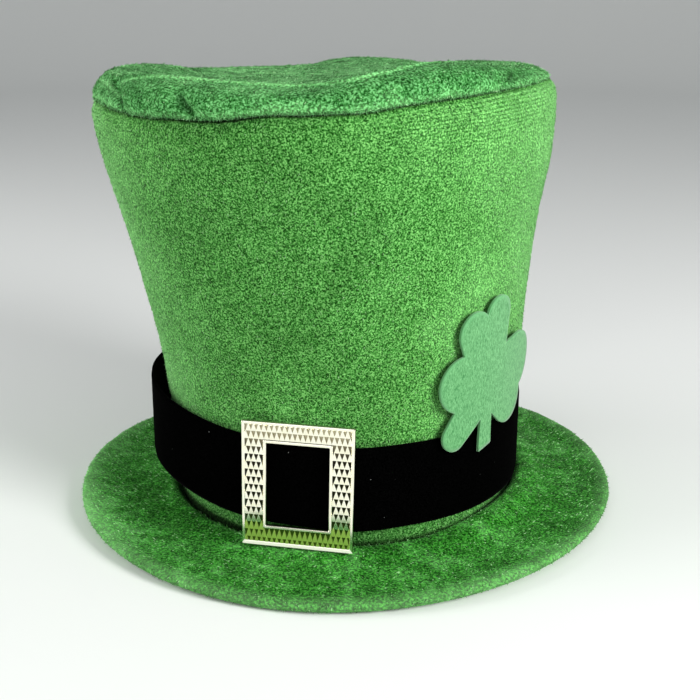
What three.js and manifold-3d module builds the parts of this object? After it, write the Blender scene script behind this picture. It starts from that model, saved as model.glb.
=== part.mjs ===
// A costume leprechaun hat in green plush, at its real size, in millimetres with +Z up.
// The hat stands on its brim. The origin is the middle of the brim's underside and the front is -Y.
// An azimuth is counted in degrees from the front towards +X, once round the hat.
// Six pieces: a padded brim, the plush side of the crown, the slack top panel sewn to it,
// a loose black band, a stamped gold buckle and a felt shamrock.
import * as THREE from "three";
import { mergeVertices } from "three/addons/utils/BufferGeometryUtils.js";
import Module from "manifold-3d";

const wasm = await Module();
wasm.setup();

// Clearance between two pieces that are sewn or glued together
const SEAT_GAP = 0.3;

// Head opening, inside the plush
const HEAD_HALF_WIDTH = 91.5;
const HEAD_HALF_DEPTH = 102;

// Brim: two layers of plush over foam
const BRIM_HALF_WIDTH = 150;
const BRIM_HALF_DEPTH = 160;
const BRIM_THICKNESS = 6;
const BRIM_LIFT = 5.5;
const BRIM_FLAT_REACH = 0.45;

// Crown: the plush side wall, flared towards the top and leaning to one side
const PLUSH = 3;
const CROWN_HEIGHT = 218;
const TOP_HALF_WIDTH = 121;
const TOP_HALF_DEPTH = 128;
const LEAN_ANGLE = 3.8;
const LEAN_SHIFT = 13.3;
const LEAN_AZIMUTH = -79;
const LEAN_CURVE = 1.6;

// Top panel: a soft roll over the rim round a sagging dish
const ROLL_HEIGHT = 19;
const DISH_HEIGHT = 5;
const FOLD_DEPTH = 4;

// Band: a loose loop that stands off the crown on one side and hangs lowest over the brim on the other
const BAND_WIDTH = 44;
const BAND_THICKNESS = 1.6;
const BAND_OVER_BRIM = 10.1;
const BAND_SLACK = 8.5;
const BAND_TILT = 5.6;

// Buckle: a flat stamped frame with a raised rim along both edges
const BUCKLE_WIDTH = 56;
const BUCKLE_FOOT_WIDTH = 53.5;
const BUCKLE_HEIGHT = 63.5;
const BUCKLE_WINDOW_WIDTH = 32;
const BUCKLE_WINDOW_HEIGHT = 44;
const BUCKLE_CORNER = 1;
const BUCKLE_PLATE = 1.2;
const BUCKLE_RIM_WIDTH = 1.6;
const BUCKLE_RIM_RISE = 1.1;
const BUCKLE_OVER_BRIM = 6.3;
const BUCKLE_AZIMUTH = 0;
const BUCKLE_LEAN = 2.4;
const BUCKLE_ROLL = -1.8;
const TOOTH_WIDTH = 2.6;
const TOOTH_LENGTH = 4;
const TOOTH_RISE = 0.9;
const TOOTH_FILL = 0.86;

// Shamrock: a stiff felt sheet that lies on the band and on the crown above it
const SHAMROCK_REACH = 46.5;
const SHAMROCK_SHEET = 2;
const SHAMROCK_CORE = 13;
const SHAMROCK_OVER_BAND = 8.2;
const SHAMROCK_AZIMUTH = 58;
const SHAMROCK_STEM_LENGTH = 35.5;
const SHAMROCK_STEM_TOP = 7.6;
const SHAMROCK_STEM_END = 10.2;
const SHAMROCK_STEM_SLANT = 2.6;
const FELT_MARGIN = 6;

const SIDES = 80;
const LOBE_STEPS = 10;
const CORNER_STEPS = 2;
const FELT_COLUMNS = 16;
const FELT_ROWS = 8;
const TURN = 360;

// Brim section from the head opening, reach 0, to the outer edge, reach 1.
// Heights are shares of the thickness.
const BRIM_UNDERSIDE = [
  { reach: 0, height: 0 },
  { reach: BRIM_FLAT_REACH, height: 0 },
  { reach: 0.75, height: 0 },
  { reach: 0.95, height: 0.05 },
  { reach: 0.99, height: 0.22 },
];
const BRIM_TOP = [
  { reach: 1, height: 0.48 },
  { reach: 0.988, height: 0.74 },
  { reach: 0.94, height: 0.93 },
  { reach: 0.7, height: 1 },
  { reach: 0.4, height: 0.97 },
  { reach: 0.15, height: 0.93 },
  { reach: 0.07, height: 1 },
  { reach: 0, height: 1 },
];
// How far the outer edge lifts off the table, as a share of the lift.
const BRIM_WAVES = [
  { azimuth: 0, lift: 0.1 },
  { azimuth: 45, lift: 0.5 },
  { azimuth: 90, lift: 0.75 },
  { azimuth: 135, lift: 0.75 },
  { azimuth: 180, lift: 0.2 },
  { azimuth: 225, lift: 0.2 },
  { azimuth: 270, lift: 1 },
  { azimuth: 315, lift: 0.6 },
];

// Crown sections from foot to seam. Flare is the share of the way from the foot's size to the top's.
const CROWN_SECTIONS = [
  { height: 0, flare: 0 },
  { height: 0.08, flare: -0.01 },
  { height: 0.18, flare: 0.04 },
  { height: 0.28, flare: 0.13 },
  { height: 0.42, flare: 0.24 },
  { height: 0.57, flare: 0.42 },
  { height: 0.75, flare: 0.68 },
  { height: 0.88, flare: 0.91 },
  { height: 0.945, flare: 1 },
  { height: 0.975, flare: 0.99 },
  { height: 1, flare: 0.9 },
];
// Sections that the inside of the wall needs, by their height.
const CROWN_INSIDE_HEIGHTS = [1, 0.945, 0.75, 0.5, 0.28, 0];

// Top panel from the seam, radius 1, to the middle, radius 0. Rise is a share of the roll's height there,
// and sag is the share of the way from that roll down to the dish.
const PANEL_SECTIONS = [
  { radius: 1, rise: 0, sag: 0 },
  { radius: 1.016, rise: 0.16, sag: 0 },
  { radius: 1.02, rise: 0.42, sag: 0 },
  { radius: 0.998, rise: 0.72, sag: 0 },
  { radius: 0.95, rise: 0.93, sag: 0 },
  { radius: 0.885, rise: 1, sag: 0 },
  { radius: 0.8, rise: 0.96, sag: 0.12 },
  { radius: 0.66, rise: 0.9, sag: 0.55 },
  { radius: 0.46, rise: 0.9, sag: 0.88 },
  { radius: 0.22, rise: 0.9, sag: 1 },
];
// Height of the roll once round the rim, as a share of the roll's height.
const ROLL_WAVES = [
  { azimuth: 10, height: 0.6 },
  { azimuth: 26, height: 0.8 },
  { azimuth: 45, height: 0.87 },
  { azimuth: 66, height: 0.6 },
  { azimuth: 90, height: 0.4 },
  { azimuth: 130, height: 0.4 },
  { azimuth: 168, height: 0.33 },
  { azimuth: 188, height: 0.56 },
  { azimuth: 206, height: 0.5 },
  { azimuth: 240, height: 0.68 },
  { azimuth: 270, height: 1 },
  { azimuth: 300, height: 1 },
  { azimuth: 325, height: 0.97 },
  { azimuth: 350, height: 0.74 },
];
// Creases that press into the roll. The slant is how far one walks round from the seam to the ridge.
const ROLL_FOLDS = [
  { azimuth: 335, slant: -13, spread: 4.5, depth: 0.9 },
  { azimuth: 304, slant: 6, spread: 4.5, depth: 0.8 },
  { azimuth: 62, slant: 14, spread: 7, depth: 0.6 },
  { azimuth: 148, slant: -10, spread: 7, depth: 0.7 },
  { azimuth: 222, slant: 10, spread: 6, depth: 0.7 },
];

// Band once round the hat: the standoff from the crown as a share of the slack,
// and the height of its middle as a share of the tilt.
const BAND_COURSE = [
  { azimuth: 0, standoff: 0.08, rise: -0.15 },
  { azimuth: 15, standoff: 0.3, rise: -0.4 },
  { azimuth: 32, standoff: 0.04, rise: -0.55 },
  { azimuth: 60, standoff: 0, rise: -0.85 },
  { azimuth: 90, standoff: 0, rise: -1 },
  { azimuth: 135, standoff: 0.12, rise: -0.7 },
  { azimuth: 180, standoff: 0.35, rise: 0 },
  { azimuth: 225, standoff: 0.7, rise: 0.7 },
  { azimuth: 270, standoff: 1, rise: 1 },
  { azimuth: 295, standoff: 0.75, rise: 0.9 },
  { azimuth: 320, standoff: 0.3, rise: 0.5 },
  { azimuth: 345, standoff: 0.26, rise: 0.1 },
];

// Six round-ended lobes, two to a leaf, fanned about the heart of the shamrock. The direction is counted
// from the viewer's right towards the top, and lengths are shares of the reach.
const SHAMROCK_LOBES = [
  { direction: 108, length: 0.92, round: 0.235 },
  { direction: 80, length: 0.97, round: 0.22 },
  { direction: 12, length: 0.94, round: 0.29 },
  { direction: -36, length: 0.86, round: 0.27 },
  { direction: 227, length: 0.87, round: 0.215 },
  { direction: 174, length: 0.73, round: 0.29 },
];

const COLOURS = {
  plush: { color: 0x4b9a40, roughness: 1, metalness: 0 },
  panel: { color: 0x59a053, roughness: 1, metalness: 0 },
  brim: { color: 0x468c3c, roughness: 1, metalness: 0 },
  band: { color: 0x0a0a0a, roughness: 0.9, metalness: 0 },
  buckle: { color: 0xf0e3b4, roughness: 0.2, metalness: 1 },
  felt: { color: 0x77c37f, roughness: 0.95, metalness: 0 },
};

const { degToRad, radToDeg, lerp, clamp } = THREE.MathUtils;

// A smooth value between the rows of a table, which are sorted by the column `key`.
// With a period the table closes on itself.
function smoothColumn(rows, key, column, period = 0) {
  const count = rows.length;
  const row = (i) => {
    const lap = period ? Math.floor(i / count) : 0;
    const found = rows[period ? i - lap * count : clamp(i, 0, count - 1)];
    return { at: found[key] + lap * period, value: found[column] };
  };
  return (where) => {
    const first = rows[0][key];
    const x = period ? where - Math.floor((where - first) / period) * period : where;
    let i = 0;
    while (i < count - (period ? 1 : 2) && row(i + 1).at <= x) i += 1;
    const [before, low, high, after] = [row(i - 1), row(i), row(i + 1), row(i + 2)];
    const span = high.at - low.at;
    const t = clamp((x - low.at) / span, 0, 1);
    const slopeLow = ((high.value - before.value) / (high.at - before.at)) * span;
    const slopeHigh = ((after.value - low.value) / (after.at - low.at)) * span;
    return (
      low.value * (2 * t ** 3 - 3 * t ** 2 + 1) +
      slopeLow * (t ** 3 - 2 * t ** 2 + t) +
      high.value * (3 * t ** 2 - 2 * t ** 3) +
      slopeHigh * (t ** 3 - t ** 2)
    );
  };
}

const brimWave = smoothColumn(BRIM_WAVES, "azimuth", "lift", TURN);
const crownFlare = smoothColumn(CROWN_SECTIONS, "height", "flare");
const rollWave = smoothColumn(ROLL_WAVES, "azimuth", "height", TURN);
const bandStandoff = smoothColumn(BAND_COURSE, "azimuth", "standoff", TURN);
const bandRise = smoothColumn(BAND_COURSE, "azimuth", "rise", TURN);

// Direction straight out from the hat at an azimuth.
function outwards(azimuth) {
  const a = degToRad(azimuth);
  return new THREE.Vector3(Math.sin(a), -Math.cos(a), 0);
}

// Point on an upright oval at an azimuth.
function onOval(halfWidth, halfDepth, azimuth, z) {
  const out = outwards(azimuth);
  return new THREE.Vector3(halfWidth * out.x, halfDepth * out.y, z);
}

// Normal of such an oval.
function ovalNormal(halfWidth, halfDepth, azimuth) {
  const out = outwards(azimuth);
  return new THREE.Vector3(out.x / halfWidth, out.y / halfDepth, 0).normalize();
}

// One ring of points round the hat.
function ring(pointAt) {
  return Array.from({ length: SIDES }, (_, i) => pointAt((i * TURN) / SIDES));
}

// Triangles between neighbouring rings. The rings go out along the underside, up the outside and in over
// the top. Without poles the last ring joins the first, and with poles a single point closes either end.
function skin(rings, poles) {
  const points = poles ? [poles[0], ...rings.flat(), poles[1]] : rings.flat();
  const start = poles ? 1 : 0;
  const index = [];
  const bands = poles ? rings.length - 1 : rings.length;
  for (let r = 0; r < bands; r += 1) {
    const low = start + r * SIDES;
    const high = start + ((r + 1) % rings.length) * SIDES;
    for (let i = 0; i < SIDES; i += 1) {
      const next = (i + 1) % SIDES;
      index.push(low + i, low + next, high + next, low + i, high + next, high + i);
    }
  }
  if (poles) {
    const last = start + (rings.length - 1) * SIDES;
    for (let i = 0; i < SIDES; i += 1) {
      const next = (i + 1) % SIDES;
      index.push(0, start + next, start + i, last + i, last + next, points.length - 1);
    }
  }
  const geometry = new THREE.BufferGeometry().setFromPoints(points);
  geometry.setIndex(index);
  return geometry;
}

// Turns a geometry into a solid that can be joined and cut.
function solid(geometry) {
  const bare = geometry.clone();
  bare.deleteAttribute("normal");
  bare.deleteAttribute("uv");
  const merged = mergeVertices(bare);
  return new wasm.Manifold(
    new wasm.Mesh({
      numProp: 3,
      vertProperties: merged.attributes.position.array,
      triVerts: new Uint32Array(merged.index.array),
    }),
  );
}

// Turns such a solid back into a geometry.
function geometryOf(body) {
  const mesh = body.getMesh();
  const geometry = new THREE.BufferGeometry();
  geometry.setAttribute("position", new THREE.BufferAttribute(mesh.vertProperties, mesh.numProp));
  geometry.setIndex(new THREE.BufferAttribute(mesh.triVerts, 1));
  return geometry;
}

function named(name, geometry, finish) {
  geometry.computeVertexNormals();
  const mesh = new THREE.Mesh(geometry, new THREE.MeshStandardMaterial(finish));
  mesh.name = name;
  return mesh;
}

// Brim
function brimPoint(azimuth, { reach, height }) {
  const inner = onOval(HEAD_HALF_WIDTH, HEAD_HALF_DEPTH, azimuth, 0);
  const outer = onOval(BRIM_HALF_WIDTH, BRIM_HALF_DEPTH, azimuth, 0);
  const point = inner.lerp(outer, reach);
  const bend = clamp((reach - BRIM_FLAT_REACH) / (1 - BRIM_FLAT_REACH), 0, 1);
  point.z = height * BRIM_THICKNESS + BRIM_LIFT * brimWave(azimuth) * bend ** 2;
  return point;
}

function makeBrim() {
  const section = [...BRIM_UNDERSIDE, ...BRIM_TOP];
  return named("brim", skin(section.map((row) => ring((a) => brimPoint(a, row)))), COLOURS.brim);
}

// Crown
const crownFoot = BRIM_THICKNESS + SEAT_GAP;
const lean = outwards(LEAN_AZIMUTH);

// Half width and half depth of the crown's outside at a share of its height.
function crownOval(share) {
  const flare = crownFlare(share);
  return [
    lerp(HEAD_HALF_WIDTH + PLUSH, TOP_HALF_WIDTH, flare),
    lerp(HEAD_HALF_DEPTH + PLUSH, TOP_HALF_DEPTH, flare),
  ];
}

// Leans a point of the crown over: it moves along the lean and its level tips with it.
function leaned(point, share) {
  const along = point.x * lean.x + point.y * lean.y;
  const drop = Math.tan(degToRad(LEAN_ANGLE * share)) * along;
  return point.clone().addScaledVector(lean, LEAN_SHIFT * share ** LEAN_CURVE).setZ(point.z - drop);
}

function crownPoint(azimuth, share, inset = 0) {
  const [halfWidth, halfDepth] = crownOval(share);
  const z = crownFoot + share * CROWN_HEIGHT;
  return leaned(onOval(halfWidth - inset, halfDepth - inset, azimuth, z), share);
}

// Share of the crown's height at which its outside passes a level.
function shareAtLevel(azimuth, z) {
  let share = 0;
  for (let pass = 0; pass < 4; pass += 1) share += (z - crownPoint(azimuth, share).z) / CROWN_HEIGHT;
  return Math.max(share, 0);
}

function makeCrownWall() {
  const outside = CROWN_SECTIONS.map(({ height }) => ring((a) => crownPoint(a, height)));
  const inside = CROWN_INSIDE_HEIGHTS.map((height) => ring((a) => crownPoint(a, height, PLUSH)));
  return named("crown_wall", skin([...outside, ...inside]), COLOURS.plush);
}

// Top panel
// Degrees from one azimuth to another, the short way round.
function turnBetween(from, to) {
  return to - from - Math.round((to - from) / TURN) * TURN;
}

function foldDepth(azimuth, rise) {
  let depth = 0;
  for (const fold of ROLL_FOLDS) {
    const off = turnBetween(fold.azimuth + fold.slant * rise, azimuth) / fold.spread;
    depth += fold.depth * Math.exp(-off * off);
  }
  return depth * FOLD_DEPTH;
}

// The panel's outside along one azimuth, as distance from the middle and height over the wall.
function panelOutside(azimuth) {
  const roll = ROLL_HEIGHT * rollWave(azimuth);
  const [halfWidth] = crownOval(1);
  return PANEL_SECTIONS.map(({ radius, rise, sag }) => {
    const press = foldDepth(azimuth, rise) * Math.sin(Math.PI * rise) * (1 - sag);
    const height = SEAT_GAP + lerp(roll * rise, DISH_HEIGHT, sag);
    return new THREE.Vector2(radius * halfWidth - press, height - press * rise);
  });
}

// The same line moved inwards by the plush.
function panelInside(outside) {
  return outside.map((point, i) => {
    if (i === 0) return new THREE.Vector2(point.x - PLUSH, point.y);
    const before = outside[i - 1];
    const after = outside[Math.min(i + 1, outside.length - 1)];
    const along = after.clone().sub(before).normalize();
    return new THREE.Vector2(point.x + along.y * -PLUSH, point.y + along.x * PLUSH);
  });
}

function panelPoint(azimuth, line) {
  const [halfWidth, halfDepth] = crownOval(1);
  const extra = line.x - halfWidth;
  const share = Math.min(line.x / halfWidth, 1);
  const point = onOval(halfWidth * share, halfDepth * share, azimuth, crownFoot + CROWN_HEIGHT + line.y);
  if (extra > 0) point.addScaledVector(ovalNormal(halfWidth, halfDepth, azimuth), extra);
  return leaned(point, 1);
}

function makeTopPanel() {
  const rows = PANEL_SECTIONS.map((_, i) => i);
  const outside = rows.map((i) => ring((a) => panelPoint(a, panelOutside(a)[i])));
  const inside = rows.map((i) => ring((a) => panelPoint(a, panelInside(panelOutside(a))[i])));
  const middle = (height) => panelPoint(0, new THREE.Vector2(0, height));
  const poles = [middle(SEAT_GAP + DISH_HEIGHT - PLUSH), middle(SEAT_GAP + DISH_HEIGHT)];
  return named("top_panel", skin([...inside.reverse(), ...outside], poles), COLOURS.panel);
}

// Band
const bandMiddle = crownFoot + BAND_OVER_BRIM + BAND_TILT + BAND_WIDTH / 2;

function bandPoint(azimuth, edge, layer) {
  const middle = bandMiddle + BAND_TILT * bandRise(azimuth);
  const share = shareAtLevel(azimuth, middle + BAND_WIDTH / 2);
  const [halfWidth, halfDepth] = crownOval(share);
  const point = crownPoint(azimuth, share);
  const standoff = SEAT_GAP + BAND_SLACK * Math.max(bandStandoff(azimuth), 0) + layer * BAND_THICKNESS;
  point.addScaledVector(ovalNormal(halfWidth, halfDepth, azimuth), standoff);
  return point.setZ(middle + (edge * BAND_WIDTH) / 2);
}

function makeBand() {
  const corners = [
    [-1, 1],
    [1, 1],
    [1, 0],
    [-1, 0],
  ];
  return named("hat_band", skin(corners.map(([e, l]) => ring((a) => bandPoint(a, e, l)))), COLOURS.band);
}

// Buckle, drawn in its own plane with x across, y up and z out of the hat
function plateOutline({ width, footWidth, height }) {
  const [head, foot, y, corner] = [width / 2, footWidth / 2, height / 2, BUCKLE_CORNER];
  const shape = new THREE.Shape();
  shape.moveTo(-foot + corner, -y);
  shape.lineTo(foot - corner, -y);
  shape.quadraticCurveTo(foot, -y, foot, -y + corner);
  shape.lineTo(head, y - corner);
  shape.quadraticCurveTo(head, y, head - corner, y);
  shape.lineTo(-head + corner, y);
  shape.quadraticCurveTo(-head, y, -head, y - corner);
  shape.lineTo(-foot, -y + corner);
  shape.quadraticCurveTo(-foot, -y, -foot + corner, -y);
  return shape;
}

// The same plate with its edges moved out.
function grown({ width, footWidth, height }, margin) {
  return { width: width + 2 * margin, footWidth: footWidth + 2 * margin, height: height + 2 * margin };
}

function frameSolid(outline, hole, depth) {
  const shape = plateOutline(outline);
  shape.holes.push(plateOutline(hole));
  const options = { depth, bevelEnabled: false, curveSegments: CORNER_STEPS };
  return solid(new THREE.ExtrudeGeometry(shape, options));
}

// One stamped tooth: a low three-sided pyramid that points up.
function toothSolid(x, y) {
  const half = (TOOTH_WIDTH * TOOTH_FILL) / 2;
  const long = (TOOTH_LENGTH * TOOTH_FILL) / 2;
  const tooth = new THREE.ConeGeometry(1, TOOTH_RISE * 2, 3).rotateX(Math.PI / 2);
  tooth.rotateZ(Math.PI).scale(half, long, 1);
  return solid(tooth.translate(x, y, BUCKLE_PLATE));
}

// Middles of the teeth that fit between the two rims, every other row set over by half a tooth.
function toothPlaces() {
  const places = [];
  const fieldHeight = BUCKLE_HEIGHT - 2 * BUCKLE_RIM_WIDTH;
  const clearWidth = BUCKLE_WINDOW_WIDTH / 2 + BUCKLE_RIM_WIDTH + TOOTH_WIDTH / 2;
  const clearHeight = BUCKLE_WINDOW_HEIGHT / 2 + BUCKLE_RIM_WIDTH + TOOTH_LENGTH / 2;
  const rows = Math.floor(fieldHeight / TOOTH_LENGTH);
  for (let row = 0; row < rows; row += 1) {
    const y = (row - (rows - 1) / 2) * TOOTH_LENGTH;
    const widthHere = lerp(BUCKLE_FOOT_WIDTH, BUCKLE_WIDTH, 0.5 + y / BUCKLE_HEIGHT);
    const reach = widthHere / 2 - BUCKLE_RIM_WIDTH - (TOOTH_WIDTH * TOOTH_FILL) / 2;
    const odd = row % 2;
    const half = Math.floor(reach / TOOTH_WIDTH + odd / 2);
    for (let column = odd - half; column <= half; column += 1) {
      const x = (column - odd / 2) * TOOTH_WIDTH;
      if (Math.abs(x) > clearWidth || Math.abs(y) > clearHeight) places.push([x, y]);
    }
  }
  return places;
}

// Lays the buckle's plane against the outermost points of the band.
function buckleMatrix() {
  const out = outwards(BUCKLE_AZIMUTH).applyAxisAngle(
    outwards(BUCKLE_AZIMUTH + TURN / 4),
    degToRad(-BUCKLE_LEAN),
  );
  const across = outwards(BUCKLE_AZIMUTH + TURN / 4);
  const up = new THREE.Vector3().crossVectors(out, across);
  const middle = bandPoint(BUCKLE_AZIMUTH, 0, 1);
  middle.setZ(crownFoot + BUCKLE_OVER_BRIM + BUCKLE_HEIGHT / 2);
  let reach = -Infinity;
  for (let i = -SIDES / 4; i <= SIDES / 4; i += 1) {
    for (const edge of [-1, 1]) {
      const off = bandPoint(BUCKLE_AZIMUTH + (i * TURN) / SIDES / 2, edge, 1).sub(middle);
      if (Math.abs(off.dot(across)) < BUCKLE_WIDTH / 2) reach = Math.max(reach, off.dot(out));
    }
  }
  middle.addScaledVector(out, reach + SEAT_GAP);
  const matrix = new THREE.Matrix4().makeBasis(across, up, out).setPosition(middle);
  return matrix.multiply(new THREE.Matrix4().makeRotationZ(degToRad(BUCKLE_ROLL)));
}

function makeBuckle() {
  const outline = { width: BUCKLE_WIDTH, footWidth: BUCKLE_FOOT_WIDTH, height: BUCKLE_HEIGHT };
  const hole = {
    width: BUCKLE_WINDOW_WIDTH,
    footWidth: BUCKLE_WINDOW_WIDTH,
    height: BUCKLE_WINDOW_HEIGHT,
  };
  const full = BUCKLE_PLATE + BUCKLE_RIM_RISE;
  let body = frameSolid(outline, hole, BUCKLE_PLATE)
    .add(frameSolid(outline, grown(outline, -BUCKLE_RIM_WIDTH), full))
    .add(frameSolid(grown(hole, BUCKLE_RIM_WIDTH), hole, full));
  for (const [x, y] of toothPlaces()) body = body.add(toothSolid(x, y));
  const mesh = named("buckle", geometryOf(body), COLOURS.buckle);
  mesh.applyMatrix4(buckleMatrix());
  return mesh;
}

// Shamrock
const shamrockMiddle =
  bandPoint(SHAMROCK_AZIMUTH, 1, 1).z - SHAMROCK_OVER_BAND + SHAMROCK_STEM_LENGTH;

// The sheet rests on the band at the end of the stem and on the crown behind its top.
function sheetPoint(azimuth, z, layer) {
  const low = shamrockMiddle - SHAMROCK_STEM_LENGTH - SHAMROCK_STEM_SLANT;
  const high = shamrockMiddle + SHAMROCK_REACH;
  const foot = bandPoint(azimuth, 0, 1);
  const share = shareAtLevel(azimuth, high);
  const [halfWidth, halfDepth] = crownOval(share);
  const head = crownPoint(azimuth, share);
  const normal = ovalNormal(halfWidth, halfDepth, azimuth);
  const point = foot.lerp(head, (z - low) / (high - low));
  point.addScaledVector(normal, 2 * SEAT_GAP + layer * SHAMROCK_SHEET);
  return point.setZ(z);
}

// A curved blank of felt, wider than the shamrock all round.
function blankSolid() {
  const points = [];
  const beyond = SHAMROCK_REACH + FELT_MARGIN;
  const spread = radToDeg(beyond / HEAD_HALF_WIDTH);
  for (const layer of [0, 1]) {
    for (let row = 0; row <= FELT_ROWS; row += 1) {
      for (let column = 0; column <= FELT_COLUMNS; column += 1) {
        const azimuth = SHAMROCK_AZIMUTH + lerp(-spread, spread, column / FELT_COLUMNS);
        const z = shamrockMiddle + lerp(-beyond, beyond, row / FELT_ROWS);
        points.push(sheetPoint(azimuth, z, layer));
      }
    }
  }
  const [across, up] = [FELT_COLUMNS, FELT_ROWS];
  const at = (layer, row, column) => (layer * (up + 1) + row) * (across + 1) + column;
  const index = [];
  const quad = (a, b, c, d) => index.push(a, b, c, a, c, d);
  for (let row = 0; row < up; row += 1) {
    for (let c = 0; c < across; c += 1) {
      quad(at(1, row, c), at(1, row, c + 1), at(1, row + 1, c + 1), at(1, row + 1, c));
      quad(at(0, row, c), at(0, row + 1, c), at(0, row + 1, c + 1), at(0, row, c + 1));
    }
    quad(at(0, row, 0), at(1, row, 0), at(1, row + 1, 0), at(0, row + 1, 0));
    quad(at(1, row, across), at(0, row, across), at(0, row + 1, across), at(1, row + 1, across));
  }
  for (let c = 0; c < across; c += 1) {
    quad(at(0, 0, c), at(0, 0, c + 1), at(1, 0, c + 1), at(1, 0, c));
    quad(at(1, up, c), at(1, up, c + 1), at(0, up, c + 1), at(0, up, c));
  }
  const geometry = new THREE.BufferGeometry().setFromPoints(points);
  geometry.setIndex(index);
  return solid(geometry);
}

// One lobe: a round end with straight sides that run to the round core of the shamrock.
function lobeShape({ direction, length, round }) {
  const radius = round * SHAMROCK_REACH;
  const centre = (length - round) * SHAMROCK_REACH;
  const side = Math.acos((radius - SHAMROCK_CORE) / centre);
  const points = [];
  for (const [x, size, from, to] of [
    [centre, radius, -side, side],
    [0, SHAMROCK_CORE, side, 2 * Math.PI - side],
  ]) {
    for (let i = 0; i <= LOBE_STEPS; i += 1) {
      const a = lerp(from, to, i / LOBE_STEPS);
      points.push(new THREE.Vector2(x + size * Math.cos(a), size * Math.sin(a)));
    }
  }
  const turn = degToRad(direction);
  return new THREE.Shape(points.map((p) => p.rotateAround(new THREE.Vector2(), turn)));
}

function stemShape() {
  const [top, end] = [SHAMROCK_STEM_TOP / 2, SHAMROCK_STEM_END / 2];
  return new THREE.Shape([
    new THREE.Vector2(-top, 0),
    new THREE.Vector2(-end, -SHAMROCK_STEM_LENGTH - SHAMROCK_STEM_SLANT / 2),
    new THREE.Vector2(end, -SHAMROCK_STEM_LENGTH + SHAMROCK_STEM_SLANT / 2),
    new THREE.Vector2(top, 0),
  ]);
}

function makeShamrock() {
  const depth = 2 * SHAMROCK_REACH;
  const cut = (shape) => solid(new THREE.ExtrudeGeometry(shape, { depth, bevelEnabled: false }));
  let cutter = cut(stemShape());
  for (const lobe of SHAMROCK_LOBES) cutter = cutter.add(cut(lobeShape(lobe)));
  const out = outwards(SHAMROCK_AZIMUTH);
  const across = outwards(SHAMROCK_AZIMUTH + TURN / 4);
  const place = sheetPoint(SHAMROCK_AZIMUTH, shamrockMiddle, 0).addScaledVector(out, -depth / 2);
  const matrix = new THREE.Matrix4().makeBasis(across, new THREE.Vector3(0, 0, 1), out);
  matrix.setPosition(place);
  const body = blankSolid().intersect(solid(geometryOf(cutter).applyMatrix4(matrix)));
  return named("shamrock", geometryOf(body), COLOURS.felt);
}

const hat = new THREE.Group();
hat.add(makeBrim(), makeCrownWall(), makeTopPanel(), makeBand(), makeBuckle(), makeShamrock());

export default hat;
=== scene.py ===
# A leprechaun hat in green plush: a padded brim, a flared crown with a slack top, a loose velvet band,
# a stamped gold buckle and a felt shamrock. Lengths are in metres, +Z is up and the front is -Y.
# An azimuth is counted in degrees from the front towards +X, once round the hat.
import math

import bmesh
import bpy
import numpy as np
from mathutils import Matrix, Vector


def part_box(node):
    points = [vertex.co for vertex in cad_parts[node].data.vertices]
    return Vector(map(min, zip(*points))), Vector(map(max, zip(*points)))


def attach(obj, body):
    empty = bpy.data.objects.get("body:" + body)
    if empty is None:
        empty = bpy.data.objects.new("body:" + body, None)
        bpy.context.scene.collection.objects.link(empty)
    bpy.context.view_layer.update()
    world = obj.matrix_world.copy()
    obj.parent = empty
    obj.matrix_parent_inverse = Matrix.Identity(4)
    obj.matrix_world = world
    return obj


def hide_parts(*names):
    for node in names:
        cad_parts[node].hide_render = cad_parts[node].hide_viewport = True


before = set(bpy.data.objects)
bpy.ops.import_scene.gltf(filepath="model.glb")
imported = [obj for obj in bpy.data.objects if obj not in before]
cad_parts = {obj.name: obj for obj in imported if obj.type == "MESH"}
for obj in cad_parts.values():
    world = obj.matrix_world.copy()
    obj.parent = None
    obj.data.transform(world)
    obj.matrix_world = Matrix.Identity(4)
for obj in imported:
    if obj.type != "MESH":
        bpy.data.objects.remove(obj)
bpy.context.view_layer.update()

TURN = 360.0
MM = 0.001

# Fit of one sewn or glued piece against the next
SEAT_GAP = 0.3 * MM

# Head opening and brim
HEAD_HALF_WIDTH = 0.0915
HEAD_HALF_DEPTH = 0.102
brim_low, brim_high = (Vector(corner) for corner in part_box("brim"))
BRIM_HALF_WIDTH = (brim_high.x - brim_low.x) / 2
BRIM_HALF_DEPTH = (brim_high.y - brim_low.y) / 2
BRIM_THICKNESS = 0.006
BRIM_LIFT = 0.0055
BRIM_FLAT_REACH = 0.45
BRIM_SWELL = 0.004
BRIM_SLACK = 0.5 * MM
BRIM_NAP = 0.15 * MM

# Crown
PLUSH = 0.003
CROWN_HEIGHT = 0.218
CROWN_FOOT = BRIM_THICKNESS + SEAT_GAP
TOP_HALF_WIDTH = 0.121
TOP_HALF_DEPTH = 0.128
LEAN_ANGLE = 3.8
LEAN_SHIFT = 0.0133
LEAN_AZIMUTH = -79.0
LEAN_CURVE = 1.6

# Top panel
ROLL_HEIGHT = 0.019
DISH_HEIGHT = 0.005
FOLD_DEPTH = 0.004
SHOULDER_IN = 0.048

# Surface of the crown wall: slack, nap, gathers at the seam, lines of pulled plush, full right side
WALL_SLACK = 0.9 * MM
WALL_NAP = 0.16 * MM
WALL_FINE_NAP = 0.13 * MM
GATHERS = 46
GATHER_DEPTH = 0.3 * MM
GATHER_LENGTH = 0.009
STRETCH_LINE = 0.0017
STRETCH_DEPTH = 0.14 * MM
STRETCH_BELOW = 0.008
SIDE_FULLNESS = 0.0015
SIDE_AZIMUTH = 100
FINE_ROWS_FROM = 0.86
FINE_ROWS_NEXT = 0.8625
FOOT_SHADOW = 0.0038
FOOT_SHADOW_AZIMUTH = 325

# Band
BAND_WIDTH = 0.044
BAND_THICKNESS = 0.0016
BAND_OVER_BRIM = 0.0101
BAND_SLACK = 0.0085
BAND_TILT = 0.0056

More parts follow.
